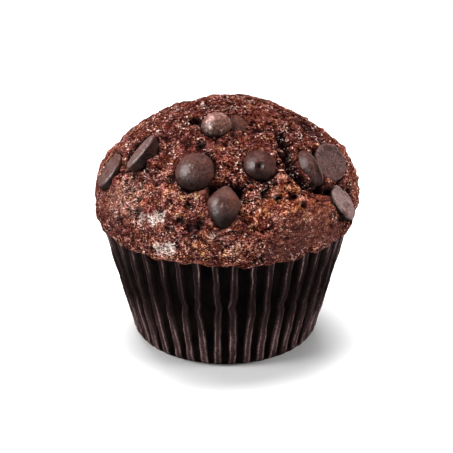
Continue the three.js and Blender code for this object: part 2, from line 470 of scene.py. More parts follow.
def hollowed(points, ragged):
    """Depth of the hollows and cracks. ragged, about -1 to 1, roughens their edges."""
    depth = np.zeros(len(points))
    for azimuth, height, radius, deep in HOLLOWS:
        away = np.linalg.norm(points - on_dome(azimuth, height), axis=1) * (1 + 0.45 * ragged)
        depth += deep * smooth_step(radius * 1.3, radius * 0.35, away)
    for width, deep, path in CRACKS:
        away = away_from_path(points, path) + 0.7 * ragged
        depth += deep * smooth_step(width * 1.3, width * 0.1, away)
    return depth


def pockets(points, normals, ragged):
    """Depth of the chips' pockets, height of the collars round them, and how shaded they are."""
    depth = np.zeros(len(points))
    collar = np.zeros(len(points))
    shade = np.zeros(len(points))
    for chip in CHIPS:
        middle = chip.centre + chip.axis * chip.length / 2
        away = np.linalg.norm(points - middle, axis=1)
        near = np.flatnonzero(away < chip.length + chip.radius + CHIP_REACH)
        lines = points[near, None, :] + LOOK_AHEAD[None, :, None] * normals[near, None, :]
        miss = chip.clearance(lines).min(1) + 0.3 * ragged[near]
        depth[near] = np.maximum(depth[near], POCKET_DEPTH * smooth_step(POCKET_GAP, -0.3, miss))
        rise = smooth_step(0.5, 1.2, miss) * smooth_step(3.0, 1.6, miss)
        collar[near] = np.maximum(collar[near], COLLAR * rise)
        shade[near] = np.maximum(shade[near], smooth_step(1.3, 0.1, miss))
    return depth, collar, shade


def warped(points, size, reach):
    """Points pushed about by slow noise, so that patterns built on them lose their evenness."""
    push = [waves(points, size, offset) for offset in (13.7, 27.1, 41.9)]
    return points + reach * np.stack(push, 1)


def lumps_and_folds(points, bent):
    """Rounded swellings that meet in sharp creases, lying level round the dome, and the creases."""
    lump = waves(points * LEVEL_STRETCH, 7.5, 11.7)
    fold = waves(bent * LEVEL_STRETCH, 4.4, 5.3)
    crease = waves(bent * LEVEL_STRETCH, 2.2, 8.3)
    lumps = 0.8 * waves(points, 17.0, 3.1) + 0.9 * (np.abs(lump) - 0.2)
    folds = 0.8 * (np.abs(fold) - 0.2) + 0.45 * (np.abs(crease) - 0.2)
    cleft = smooth_step(0.13, 0.02, np.abs(fold)) * smooth_step(0.0, 0.25, waves(points, 4.3, 2.9))
    narrow = smooth_step(0.15, 0.0, np.abs(crease)) * smooth_step(0.1, 0.35, waves(points, 3.1, 6.9))
    return lumps, folds, np.maximum(cleft, 0.8 * narrow)


def grain_and_gaps(bent, ragged):
    """Crumbs of two sizes, and the pits and pores between them."""
    grain = 0.26 * (0.45 - cells(bent, 1.4, 2.2)[0]) + 0.30 * (0.45 - cells(bent, 0.8, 7.7)[0])
    pit_away, pit_kind = cells(bent, 3.6, 4.4)
    pit = 1.0 * smooth_step(0.30, 0.10, pit_away * (1 + 0.6 * ragged)) * (pit_kind > 0.25)
    pore_away, pore_kind = cells(bent, 1.9, 6.1)
    pore = 0.5 * smooth_step(0.36, 0.1, pore_away) * (pore_kind > 0.3)
    return grain, pit + pore


def crumb_relief(points, normals, length):
    """How far each point of the dome moves out, and what its look depends on."""
    ragged = waves(points, 1.6, 9.1)
    bent = warped(points, 1.7, 0.7)
    crust = spots(points + 2.0 * ragged[:, None], CRUSTS)
    rough = 1 - 0.4 * crust
    coarse = smooth_step(-0.25, 0.35, waves(points * LEVEL_STRETCH, 6.0, 21.3))
    coarse = (0.35 + 0.65 * coarse) * rough
    lumps, folds, cleft = lumps_and_folds(points, bent)
    grain, gaps = grain_and_gaps(bent, ragged)
    fine = grain * coarse + folds * rough
    cleft = cleft * rough
    holes = gaps * coarse
    depth = hollowed(points, ragged)
    pocket, collar, shade = pockets(points, normals, ragged)
    free = smooth_step(OUTLINE_LENGTH[-1], OUTLINE_LENGTH[-1] - LIP_FADE, length)
    out = FULLNESS + lumps + fine - holes - 0.6 * cleft - depth + collar
    # Painted shade: the crumb is painted darker in its pits, clefts and hollows, and round the chips.
    dark = holes + 0.85 * cleft + np.maximum(depth, 0) / 1.3 + np.maximum(0.75 * shade, pocket / 3)
    looks = {
        "relief": fine,
        "coarse": coarse,
        "painted_hollow_shade": np.clip(dark, 0, 1),
        "crust": crust,
        "gloss_and_highlight": spots(points + 1.2 * ragged[:, None], GLOSS_AND_HIGHLIGHT_SPOTS),
        "amber": spots(points + 1.5 * ragged[:, None], AMBERS),
    }
    return out * free - pocket, looks


# ---- crumb: its mesh -----------------------------------------

def smooth_dome(rings):
    """Each vertex of the smooth dome: its length down the outline, angle, place and normal."""
    length = np.concatenate([[0.0]] + [np.full(len(turns), at) for at, turns in rings])
    angle = np.concatenate([[0.0]] + [turns for _, turns in rings]) * 2 * math.pi
    radius, height = outline_at(length)
    out, up = outline_normal(length)
    normals = around(out, angle, up)
    normals[0] = 0, 0, 1
    return length, angle, risen(around(radius, angle, height)), normals


def hung(points, length, angle):
    """The points with an uneven lip, which hangs lower over the case's valleys than its folds."""
    low = smooth_step(OUTLINE_LENGTH[-1] - LIP_HANG, OUTLINE_LENGTH[-1], length)
    sag = 0.3 - 0.3 * np.cos(PLEATS * angle)
    sag = sag + 1.1 * waves(points, 5.5, 1.9) + 0.5 * waves(points, 2.1, 3.3)
    inward = low * (0.2 - 0.2 * np.cos(PLEATS * angle))
    radius, _ = outline_at(length)
    moved = points.copy()
    moved[:, 2] -= low * sag
    moved[:, :2] *= (1 - inward / np.maximum(radius, 1))[:, None]
    return moved


def inside_case(height):
    """Radius of the crumb's side inside the paper case at a height."""
    return case_radius(height) - pleat_depth(height) - 2 * PAPER


def hidden_rings():
    """Radius and height of the few rings that close the crumb inside the case."""
    floor = 3 * PAPER
    neck = [(inside_case(RIM_HEIGHT), LIP_BOTTOM + 0.5)]
    side = [(inside_case(height), height) for height in (30.0, 18.0, EDGE_RADIUS)]
    return neck + side + [(BOTTOM_RADIUS, floor), (BOTTOM_RADIUS / 2, floor)]


def numbered(rings, start):
    """Rings of turns as rings of (vertex, turn), with the vertices numbered on from start."""
    loops = []
    for turns in rings:
        loops.append([(start + place, turn) for place, turn in enumerate(turns)])
        start += len(turns)
    return loops


def build_crumb():
    """The lumpy dome down to its lip, and the plain form inside the case that closes it."""
    rings = crumb_rings()
    length, angle, points, normals = smooth_dome(rings)
    move, looks = crumb_relief(points, normals, length)
    points = hung(points + normals * move[:, None], length, angle)

    turns = np.arange(PLEATS * 4) / (PLEATS * 4)
    hidden = [around(radius, 2 * math.pi * turns, height) for radius, height in hidden_rings()]
    floor = [[0.0, 0.0, hidden[-1][0, 2]]]
    extra = sum(len(ring) for ring in hidden) + 1
    points = np.concatenate([points, *hidden, floor])
    looks = {key: np.concatenate([values, np.zeros(extra)]) for key, values in looks.items()}

    loops = numbered([turns for _, turns in rings] + [turns] * len(hidden), start=1)
    last = len(points) - 1
    faces = [(0, a, b) for a, b in neighbours(loops[0])]
    for first, second in zip(loops, loops[1:]):
        faces += stitch(first, second)
    faces += [(last, b, a) for a, b in neighbours(loops[-1])]
    return make_piece("muffin_crumb", points, faces, looks)


# ---- paper case ----------------------------------------------

WALL_ROWS = 56
BEND_DEGREES = [0, 22, 45, 68]  # rows of the rounded edge between the bottom and the wall
BOTTOM_ROWS = [0.35, 0.7, 0.92]  # rings of the flat bottom, as shares of its radius
CREASE_HEIGHT = 21.0  # where the pleats kink, give or take CREASE_SPREAD
CREASE_SPREAD = 5
KINK_REACH = 3.2
NOTCH_DEPTH = 0.22
NOTCH_REACH = 0.8
WHOLE_WALL = 200.0  # noise this tall hardly changes up the wall, so it sets pleats apart
MOST_WEAR_AND_SHEEN = 1.5
CRUMPLE = 0.22

# Half of one pleat's section, from the middle of the fold to the middle of the valley. Each entry
# is a zone (0 the raised fold, 1 its side, 2 the valley), how far across the zone, how raised,
# how much the paper's face is lightened there by wear and painted sheen, and how much its edge
# is lightened by wear and a painted highlight.
HALF_SECTION = [
    (0, 0.0, 0.88, 0.62, 0.0),
    (0, 0.6, 0.95, 0.70, 0.1),
    (0, 0.88, 1.0, 0.75, 1.0),
    (0, 1.0, 0.95, 0.70, 1.0),
    (1, 0.25, 0.70, 0.80, 0.2),
    (1, 0.6, 0.28, 0.62, 0.0),
    (1, 1.0, 0.02, 0.20, 0.0),
    (2, 0.2, 0.0, 0.02, 0.0),
    (2, 0.55, 0.05, 0.0, 0.0),
    (2, 1.0, 0.09, 0.0, 0.0),
]


def case_radius(height):
    """Radius of the outer face of the folds at a height on the flared wall."""
    along = (height - EDGE_RADIUS) / (RIM_HEIGHT - EDGE_RADIUS)
    foot = BOTTOM_RADIUS + EDGE_RADIUS
    return foot + (RIM_RADIUS - foot) * along + WALL_BOW * np.sin(math.pi * along)


def pleat_depth(height):
    """How far the valleys lie inside the folds: nothing at the bottom, most at the rim."""
    return RIM_PLEAT_DEPTH * np.maximum(0, height / RIM_HEIGHT) ** PLEAT_DEPTH_POWER


def whole_section():
    """One pleat's section from valley to valley: side, then the columns of HALF_SECTION."""
    mirrored = [(-1, *entry) for entry in HALF_SECTION[-2:0:-1]]
    order = mirrored + [(1, *entry) for entry in HALF_SECTION]
    names = ("side", "zone", "across", "raised", "face", "edge")
    return SimpleNamespace(**dict(zip(names, (np.array(column) for column in zip(*order)))))


def pleat_noise(size, offset, heights):
    """Smooth noise for each height and pleat."""
    rows = [[noise.noise(Vector((k * 3.7, z / size, offset))) for k in range(PLEATS)] for z in heights]
    return np.array(rows)[:, :, None]


def pleat_angle(heights, section, crease):
    """Angle of each section point: the pleats differ in width, lean, and kink at the crease."""
    z = heights[:, None, None]
    fold = 0.13 + 0.06 * smooth_step(26, 3, z) + 0.06 * pleat_noise(13.0, 1.3, heights)
    flank = 0.10 + 0.04 * pleat_noise(9.0, 5.1, heights)
    valley = 0.5 - fold - flank
    beside = fold + section.across * flank
    beyond = fold + flank + section.across * valley
    phase = np.where(section.zone == 1, beside, beyond)
    phase = section.side * np.where(section.zone == 0, section.across * fold, phase)
    kink = np.maximum(0, 1 - np.abs(z - crease) / KINK_REACH)
    lean = 0.12 * pleat_noise(19.0, 2.4, heights) + 0.06 * pleat_noise(3.0, 3.9, heights)
    lean = lean + 0.11 * kink * np.sign(pleat_noise(WHOLE_WALL, 6.6, heights))
    phase = phase + lean * (1 - (2 * np.abs(phase)) ** 2)
    return 2 * math.pi * (np.arange(PLEATS)[None, :, None] + phase) / PLEATS


def pleat_lift(heights, section, crease):
    """Share of the pleat's depth by which each section point is raised, with a notch at the crease."""
    lift = section.raised * (1 + 0.14 * pleat_noise(5.0, 7.2, heights))
    notch = NOTCH_DEPTH * np.exp(-((heights[:, None, None] - crease) / NOTCH_REACH) ** 2)
    return lift - notch * section.raised


def pleat_wear_and_sheen(heights, section):
    """How much wear and painted light the paper gets: faces most near the bottom, so the wall higher
    up is painted darker in the crown's shade; edges most near the bottom and the rim, one edge of each
    fold more, as painted highlights.
    """
    z = heights[:, None, None]
    # Painted shade: the faces are lightened less higher up, under the crown.
    low = 0.22 + 0.78 * smooth_step(22, 6, z)
    # Painted highlights on the fold edges, most near the bottom and the rim, one edge of each fold
    # more.
    ends = 0.4 + 0.6 * np.maximum(smooth_step(24, 8, z), smooth_step(26, 35, z))
    bright_edge_side = np.clip(0.55 + 1.1 * section.side * pleat_noise(8.0, 9.7, heights), 0, 1)
    wear_and_sheen = section.face * low * (0.8 + 0.5 * pleat_noise(6.0, 4.1, heights))
    return np.clip(wear_and_sheen + 1.2 * section.edge * ends * bright_edge_side, 0, MOST_WEAR_AND_SHEEN)


def crumple(points):
    """Uneven dents of the wall, none at the flat bottom and the rim."""
    height = points[:, 2]
    loose = smooth_step(0.5, 6, height) * smooth_step(RIM_HEIGHT, RIM_HEIGHT - 3, height)
    return CRUMPLE * waves(points, 5.5, 2.6, octaves=3) * loose


def case_wall():
    """Radius, angle, height, and wear with painted sheen and highlights, of the paper's outer face, in
    rows from the bottom up.
    """
    bend = np.radians(BEND_DEGREES)
    wall = EDGE_RADIUS + (RIM_HEIGHT - EDGE_RADIUS) * np.linspace(0, 1, WALL_ROWS)
    heights = np.concatenate([EDGE_RADIUS * (1 - np.cos(bend)), wall])
    radii = np.concatenate([BOTTOM_RADIUS + EDGE_RADIUS * np.sin(bend), case_radius(wall)])
    section = whole_section()
    crease = CREASE_HEIGHT + CREASE_SPREAD * pleat_noise(WHOLE_WALL, 8.8, heights)
    shape = (len(heights), PLEATS * len(section.side))
    angle = pleat_angle(heights, section, crease).reshape(shape)
    lift = pleat_lift(heights, section, crease).reshape(shape)
    wear_and_sheen = pleat_wear_and_sheen(heights, section).reshape(shape)
    height = np.repeat(heights[:, None], shape[1], 1)
    radius = radii[:, None] - pleat_depth(heights)[:, None] * (1 - lift)
    radius = radius + crumple(around(radius, angle, height)).reshape(shape)
    return radius, angle, height, wear_and_sheen


def flat_ring(edge, share, height):
    """A ring of the flat bottom, drawn in from the ring round its edge."""
    ring = edge * share
    ring[:, 2] = height
    return ring


def build_case():
    """One sheet of paper: under the bottom, up the wall, down its inside and over the bottom."""
    radius, angle, height, wear_and_sheen = case_wall()
    rows, columns = radius.shape
    outer = around(radius, angle, height)
    inner = around(radius - PAPER, angle, height)
    inner[:, 2] += PAPER * np.clip(1 - inner[:, 2] / EDGE_RADIUS, 0, 1)
    downward = inner.reshape(rows, columns, 3)[::-1].reshape(-1, 3)
    below = [flat_ring(outer[:columns], share, 0) for share in BOTTOM_ROWS]
    within = [flat_ring(inner[:columns], share, PAPER) for share in BOTTOM_ROWS[::-1]]
    middles = [[0, 0, 0], [0, 0, PAPER]]
    points = np.concatenate([*below, outer, downward, *within, middles])
    wear_and_sheen_amount = np.zeros(len(points))
    outer_start = len(below) * columns
    wear_and_sheen_amount[outer_start:outer_start + wear_and_sheen.size] = wear_and_sheen.reshape(-1)
    faces = ring_faces(2 * (rows + len(below)), columns, first_corner=1)
    return make_piece("muffin_case", points, faces, {"wear_and_sheen": wear_and_sheen_amount})


# ---- chips ---------------------------------------------------

CHIP_SEGMENTS = 80
CHIP_ROWS = 34
BASE_ROWS = 16
EDGE_ROWS = 12
CLINGING_CRUMB = 0.40  # how far stuck crumb stands out from a chip


def chip_profile(chip):
    """Radius and height of a chip from near the middle of its base round to near its tip."""
    width, rise, power = chip.traits.edge
    flat = np.linspace(0, 1, BASE_ROWS)[1:]
    base_radius = (chip.radius - width) * flat
    base_height = chip.traits.recess * smooth_step(0.93, 0.74, flat)
    turn = np.linspace(0, math.pi / 2, EDGE_ROWS)[1:]
    edge_radius = chip.radius - width + width * np.sin(turn) ** (2 / power)
    edge_height = rise * (1 - np.maximum(np.cos(turn), 0) ** (2 / power))
    along = np.sin(np.linspace(0, math.pi / 2, CHIP_ROWS))[1:-1]
    side_radius = chip.radius * (1 - along ** 2) ** chip.traits.tip
    side_height = rise + (chip.length - rise) * along
    radius = np.concatenate([base_radius, edge_radius, side_radius])
    height = np.concatenate([base_height, edge_height, side_height])
    return radius, height


def clinging(chip, order, local):
    """The points with crumb stuck on in patches, and how covered each point is."""
    patch = 0.5 + waves(local, 2.4, 7.0 * order, octaves=3)
    smear = smooth_step(0.6 - chip.traits.smear, 1.0 - chip.traits.smear, patch)
    grain = 0.7 - cells(local, 1.1, 2.0 * order)[0]
    outward = local - [0, 0, chip.length * 0.35]
    outward /= np.maximum(np.linalg.norm(outward, axis=1), TINY)[:, None]
    return local + outward * (CLINGING_CRUMB * smear * grain)[:, None], smear


def melted(chip, order, local):
    """A chip's points after baking: out of round, dented, its tip sunk in, crumb stuck on."""
    high = np.clip(local[:, 2] / chip.length, 0, 1)
    spread = np.hypot(local[:, 0], local[:, 1]) / chip.radius
    lopsided = waves(local * [1, 1, 0.4], 7.0, 10.0 * order)
    local[:, :2] *= (1 + 0.10 * lopsided)[:, None]
    dents = waves(local, 3.1, 3.0 * order, octaves=2)
    local[:, :2] *= (1 + 0.03 * dents * smooth_step(0.02, 0.3, high))[:, None]
    dimple = smooth_step(0.30, 0.05, spread) * (high > 0.4)
    local[:, 2] -= chip.traits.dimple * dimple
    local, smear = clinging(chip, order, local)
    flat = smooth_step(0.9, 0.5, local[:, 2]) * smooth_step(1.02, 0.96, spread)
    return local, smear, flat, dimple * min(1, chip.traits.dimple)


def chip_shade(chip, local, to_axis, flat, dimple):
    """How dark each point is: where sides go down into the crumb, or face the ground."""
    sunk = chip.traits.sunk
    outward = (local - [0, 0, chip.length * 0.4]) @ to_axis.T
    downward = -outward[:, 2] / np.maximum(np.linalg.norm(outward, axis=1), TINY)
    side = smooth_step(0.25, 0.9, local[:, 2]) * sunk
    foot = smooth_step(1.8, 0.2, local[:, 2]) * (1 - sunk) * (1 - flat)
    under = 0.95 * smooth_step(-0.1, 0.65, downward)
    shade = np.maximum(np.maximum(side, 0.9 * foot), np.maximum(under, 0.7 * dimple))
    return shade * (1 - flat * 0.8)


def build_chip(chip, order):
    """A chip turned about its own axis, melted, and put where its CAD solid is."""
    radius, height = chip_profile(chip)
    angle = np.arange(CHIP_SEGMENTS) / CHIP_SEGMENTS * 2 * math.pi
    ends = [[0, 0, chip.traits.recess], [0, 0, chip.length]]
    local = np.concatenate([around(radius[:, None], angle, height[:, None]), ends])
    local, smear, flat, dimple = melted(chip, order, local)
    to_axis = np.array(Vector((0, 0, 1)).rotation_difference(Vector(chip.axis)).to_matrix())
    looks = {
        "smear": smear,
        "flat": flat * chip.traits.bloom_and_sheen,
        "shade": chip_shade(chip, local, to_axis, flat, dimple),
        "dust": np.full(len(local), chip.traits.dust),
    }
    points = local @ to_axis.T + chip.centre
    return make_piece(chip.node + "_melted", points, ring_faces(len(radius), CHIP_SEGMENTS), looks)


# ---- materials -----------------------------------------------

class Surface:
    """A procedural material on one Principled shader, with short calls for the nodes it needs."""

    def __init__(self, name):
        self.material = bpy.data.materials.new(name)
        self.material.use_nodes = True
        self.tree = self.material.node_tree
        self.shader = self.tree.nodes["Principled BSDF"]
        coordinates = self.tree.nodes.new("ShaderNodeTexCoord")
        self.position = coordinates.outputs["Object"]

    def node(self, kind, inputs, **settings):
        """A new node. inputs gives a value or another node's output for some of its inputs."""
        made = self.tree.nodes.new(kind)
        for key, value in settings.items():
            setattr(made, key, value)
        for key, value in inputs.items():
            self.feed(made.inputs[key], value)
        return made

    def feed(self, socket, value):
        if hasattr(value, "is_output"):
            self.tree.links.new(value, socket)
        else:
            socket.default_value = value

    def attribute(self, name):
        return self.node("ShaderNodeAttribute", {}, attribute_name=name).outputs["Fac"]

    def speckle(self, size, detail=4.0, roughness=0.55, offset=0.0, level=1.0):
        """Noise from 0 to 1 with features of a size in millimetres. level above 1 flattens them."""
        shift = {"Vector": self.position, "Location": (offset,) * 3, "Scale": (1, 1, level)}
        inputs = {
            "Vector": self.node("ShaderNodeMapping", shift).outputs[0],
            "Scale": 1 / (size * MM),
            "Detail": detail,
            "Roughness": roughness,
        }
        return self.node("ShaderNodeTexNoise", inputs).outputs["Fac"]

    def patches(self, size, start, full, detail=3.0, **settings):
        """Patches of a size in millimetres: 0 up to one value of their noise, 1 from another on."""
        return self.between(self.speckle(size, detail=detail, **settings), start, full)

    def bend(self, size, reach):
        """From here on, patterns follow positions pushed about by noise, in millimetres."""
        push = self.node("ShaderNodeTexNoise", {"Vector": self.position, "Scale": 1 / (size * MM)})
        centring = {0: push.outputs["Color"], 1: (0.5, 0.5, 0.5)}
        centred = self.node("ShaderNodeVectorMath", centring, operation="SUBTRACT")
        moving = {0: centred.outputs[0], 1: (reach * MM,) * 3, 2: self.position}
        self.position = self.node("ShaderNodeVectorMath", moving, operation="MULTIPLY_ADD").outputs[0]

    def grains(self, size):
        """Grains of a size in millimetres: distance from their centres, and a number for each."""
        inputs = {"Vector": self.position, "Scale": 1 / (size * MM)}
        texture = self.node("ShaderNodeTexVoronoi", inputs)
        parts = self.node("ShaderNodeSeparateColor", {0: texture.outputs["Color"]})
        return texture.outputs["Distance"], parts.outputs[0]

    def height(self, start, full):
        """0 at one height and 1 at another, in millimetres."""
        parts = self.node("ShaderNodeSeparateXYZ", {0: self.position})
        return self.between(parts.outputs[2], start * MM, full * MM)

    def total(self, *terms):
        """Sum of (share, value) terms."""
        result = 0.0
        for share, value in terms:
            inputs = {0: value, 1: share, 2: result}
            result = self.node("ShaderNodeMath", inputs, operation="MULTIPLY_ADD").outputs[0]
        return result

    def between(self, value, low, high, to_low=0.0, to_high=1.0):
        """value mapped from one range to another, and kept inside it."""
        inputs = dict(enumerate((value, low, high, to_low, to_high)))
        return self.node("ShaderNodeMapRange", inputs).outputs[0]

    def math(self, operation, first, second, clamp=False):
        inputs = {0: first, 1: second}
        return self.node("ShaderNodeMath", inputs, operation=operation, use_clamp=clamp).outputs[0]

    def ramp(self, value, stops):
        """Colour by value: stops are (position, (red, green, blue))."""
        made = self.node("ShaderNodeValToRGB", {0: value})
        elements = made.color_ramp.elements
        while len(elements) < len(stops):
            elements.new(0.5)
        for element, (position, colour) in zip(elements, stops):
            element.position = position
            element.color = (*colour, 1)
        return made.outputs[0]

    def mix(self, factor, first, second, blend="MIX"):
        pair = [(*value, 1) if isinstance(value, tuple) else value for value in (first, second)]
        inputs = {0: factor, 6: pair[0], 7: pair[1]}
        return self.node("ShaderNodeMix", inputs, data_type="RGBA", blend_type=blend).outputs[2]

    def tinted(self, colour, amount, tint):
        """The colour multiplied by a tint, where amount is 1."""
        return self.mix(amount, colour, self.mix(1.0, colour, tint, "MULTIPLY"))

    def bump(self, height, distance, strength):
        """Bumps of a height in millimetres."""
        inputs = {"Height": height, "Distance": distance * MM, "Strength": strength}
        self.feed(self.shader.inputs["Normal"], self.node("ShaderNodeBump", inputs).outputs[0])

    def finish(self, colour, roughness, specular):
        self.feed(self.shader.inputs["Base Color"], colour)
        self.feed(self.shader.inputs["Roughness"], roughness)
        self.shader.inputs["Specular IOR Level"].default_value = specular
        return self.material


# The crumb's colours, from the dark between its grains, which is partly painted shade, to the palest
# of them.
CRUMB_TONES = [
    (0.23, (0.008, 0.0008, 0.0007)),
    (0.37, (0.035, 0.0048, 0.0034)),
    (0.49, (0.090, 0.0195, 0.0130)),
    (0.61, (0.185, 0.056, 0.039)),
    (0.73, (0.33, 0.138, 0.102)),
    (0.88, (0.56, 0.32, 0.26)),
]
WARM_TINT = (1.20, 1.02, 0.80)
OCHRE_TINT = (1.0, 1.16, 0.72)
WINE_TINT = (1.02, 0.90, 1.16)
DULL_TINT = (0.64, 0.50, 0.60)
AMBER_TINT = (1.58, 1.62, 1.32)
TOP_SHADE_AND_BROWNING_TINT = (0.53, 0.48, 0.50)
CRUST_COLOUR = (0.072, 0.026, 0.022)
PAINTED_HOLLOW_SHADE_COLOUR = (0.006, 0.0022, 0.0025)
THIN_PAINTED_HIGHLIGHT = (0.50, 0.26, 0.20)
FULL_PAINTED_HIGHLIGHT = (0.70, 0.60, 0.55)
PAINTED_GLINT_COLOUR = (0.78, 0.60, 0.53)


def crumb_tints(surface):
    """Pairs of where the crumb is tinted and the tint, on positions that aren't bent yet."""
    return [
        (surface.patches(4.0, 0.44, 0.64, offset=0.3), WARM_TINT),
        (surface.patches(2.2, 0.50, 0.66, offset=0.9), OCHRE_TINT),
        (surface.patches(1.1, 0.50, 0.66, detail=2.0, offset=0.2), WINE_TINT),
        (surface.patches(7.0, 0.46, 0.68, offset=0.7), DULL_TINT),
        (surface.attribute("amber"), AMBER_TINT),
        # The top is painted darker: painted shade, with some browning.
        (surface.height(*TOP_SHADE_AND_BROWNING), TOP_SHADE_AND_BROWNING_TINT),
    ]


def crumb_grain(surface):
    """The fine patterns that the crumb's colour, glitter and bumps share."""
    away, kind = surface.grains(1.0)
    away_fine, kind_fine = surface.grains(0.5)
    grit = surface.patches(0.42, 0.36, 0.64, detail=2.0)
    streak = surface.patches(0.85, 0.36, 0.64, offset=0.5, level=2.4)
    inside = surface.between(away, 0.75, 0.1)
    inside_fine = surface.between(away_fine, 0.7, 0.1)
    bumps = surface.total((0.3, inside), (0.2, inside_fine), (0.25, grit), (0.25, streak))
    return SimpleNamespace(kind=kind, kind_fine=kind_fine, grit=grit, streak=streak, bumps=bumps)


def crumb_tone(surface, grain, lip):
    """How light the crumb is, from 0 to 1: more uneven where it is coarse, lighter where raised and
    darker where low as painted shade, and darker at the shaded lip.
    """
    # The relief's share paints shade: low crumb darker, raised crumb lighter.
    relief = surface.between(surface.attribute("relief"), -0.35, 0.38)
    tone = surface.total(
        (0.20, relief), (0.12, grain.kind), (0.16, grain.kind_fine), (0.28, grain.grit),
        (0.24, grain.streak),
    )
    contrast = surface.between(surface.attribute("coarse"), 0.1, 0.9, 0.80, 1.6)
    contrast = surface.total((1.0, contrast), (0.35, lip))
    swing = surface.math("MULTIPLY", surface.math("SUBTRACT", tone, 0.5), contrast)
    return surface.total((1.0, swing), (1.0, 0.5), (-0.07, lip))


def with_painted_highlights(surface, colour, grain, gloss_and_highlight, glint_chance):
    """The colour with a painted highlight on the moist, glossy patches, and painted glints on single
    grains.
    """
    highlight_pattern = surface.total((0.6, grain.streak), (0.4, grain.grit))
    highlight_pattern = surface.between(highlight_pattern, 0.36, 0.66, 0.05, 1.0)
    highlight_colour = surface.mix(gloss_and_highlight, THIN_PAINTED_HIGHLIGHT, FULL_PAINTED_HIGHLIGHT)
    # Painted highlight on the glossy patches.
    colour = surface.mix(surface.math("MULTIPLY", gloss_and_highlight, highlight_pattern), colour, highlight_colour)
    # Painted glints on single grains.
    glint = surface.between(glint_chance, 0.83, 0.97, 0.0, 0.9)
    return surface.mix(glint, colour, PAINTED_GLINT_COLOUR)


def crumb_material():
    surface = Surface("baked_chocolate_crumb")
    tints = crumb_tints(surface)
    lip = surface.height(*SHADED_LIP)
    # Clusters in which the painted glints gather.
    glint_clusters = surface.patches(5.0, 0.45, 0.65, detail=2.0, offset=0.1)
    surface.bend(1.1, 1.3)
    grain = crumb_grain(surface)
    colour = surface.ramp(crumb_tone(surface, grain, lip), CRUMB_TONES)
    for amount, tint in tints:
        colour = surface.tinted(colour, amount, tint)
    crust = surface.attribute("crust")
    colour = surface.mix(surface.math("MULTIPLY", crust, 0.45), colour, CRUST_COLOUR)
    # Painted shade in the crumb's pits, clefts and hollows, and round the chips.
    painted_hollow_shade = surface.math("MULTIPLY", surface.attribute("painted_hollow_shade"), 0.9)
    colour = surface.mix(painted_hollow_shade, colour, PAINTED_HOLLOW_SHADE_COLOUR)
    gloss_and_highlight = surface.attribute("gloss_and_highlight")
    # Where the painted glints go: in clusters, on the glossy patches, fewer on the crust.
    glint_chance = surface.total(
        (0.34, grain.kind_fine), (0.38, grain.streak), (0.28, grain.grit), (0.16, glint_clusters), (0.22, gloss_and_highlight),
        (-0.07, crust),
    )
    colour = with_painted_highlights(surface, colour, grain, gloss_and_highlight, glint_chance)
    moist = surface.between(grain.kind, 0.0, 1.0, 0.6, 0.28)
    roughness = surface.between(gloss_and_highlight, 0.0, 1.0, moist, 0.18)
    surface.bump(grain.bumps, distance=0.26, strength=1.0)
    return surface.finish(colour, roughness, specular=0.07)


PAPER_TONES = [(0.35, (0.0020, 0.0009, 0.0009)), (0.7, (0.0062, 0.0026, 0.0028))]
# What wear, painted sheen and painted highlights add to the paper's colour.
WEAR_AND_SHEEN_TONES = [
    (0.0, (0.0, 0.0, 0.0)),
    (0.45, (0.037, 0.0190, 0.0195)),
    (1.0, (0.185, 0.120, 0.116)),
]


def case_material():
    surface = Surface("waxed_case_paper")
    blotch = surface.speckle(7.0, detail=3.0, offset=0.4)
    fibre = surface.speckle(0.9, detail=5.0, roughness=0.7)
    fibrous = surface.between(fibre, 0.3, 0.62, 0.35, 1.0)
    # The folds are lightened by wear, painted sheen and painted highlights.
    wear_and_sheen_amount = surface.math("MULTIPLY", surface.attribute("wear_and_sheen"), fibrous)
    dark = surface.ramp(blotch, PAPER_TONES)
    colour = surface.mix(1.0, dark, surface.ramp(wear_and_sheen_amount, WEAR_AND_SHEEN_TONES), "ADD")
    roughness = surface.between(blotch, 0.3, 0.7, 0.34, 0.5)
    surface.bump(fibre, distance=0.1, strength=0.5)
    return surface.finish(colour, roughness, specular=0.12)


CHOCOLATE_TONES = [(0.35, (0.026, 0.0090, 0.0082)), (0.7, (0.072, 0.030, 0.0255))]
GRIT_TONES = [(0.1, (0.42, 0.38, 0.38)), (0.55, (1.0, 1.0, 1.0)), (0.9, (1.9, 1.75, 1.7))]
CLINGING_TONES = [(0.3, (0.02, 0.008, 0.007)), (0.7, (0.13, 0.045, 0.028))]
COCOA_DUST = (0.40, 0.235, 0.205)
BLOOM_AND_SHEEN_COLOUR = (0.200, 0.138, 0.134)
POCK_COLOUR = (0.02, 0.009, 0.008)
SHADE_COLOUR = (0.004, 0.0016, 0.0015)


def chocolate_colour(surface, cloud, grit):
    """Clouded chocolate with cocoa dust, pale bloom and painted sheen on the flat base, pocks and fine
    grit.
    """
    colour = surface.ramp(cloud, CHOCOLATE_TONES)
    dusty = surface.patches(0.6, 0.34, 0.70, offset=0.2)
    dusty = surface.math("MULTIPLY", dusty, surface.attribute("dust"), clamp=True)
    colour = surface.mix(dusty, colour, COCOA_DUST)
    mottle = surface.between(surface.speckle(0.5, detail=3.0, offset=0.4), 0.36, 0.64, 0.32, 0.68)
    # Bloom with a painted sheen on the flat base, mottled.
    bloom_and_sheen = surface.math("MULTIPLY", surface.attribute("flat"), mottle, clamp=True)
    colour = surface.mix(bloom_and_sheen, colour, BLOOM_AND_SHEEN_COLOUR)
    pocks = surface.between(surface.speckle(0.9, detail=2.0, offset=0.8), 0.36, 0.30, 0.0, 0.7)
    colour = surface.mix(pocks, colour, POCK_COLOUR)
    return surface.mix(1.0, colour, surface.ramp(grit, GRIT_TONES), "MULTIPLY")


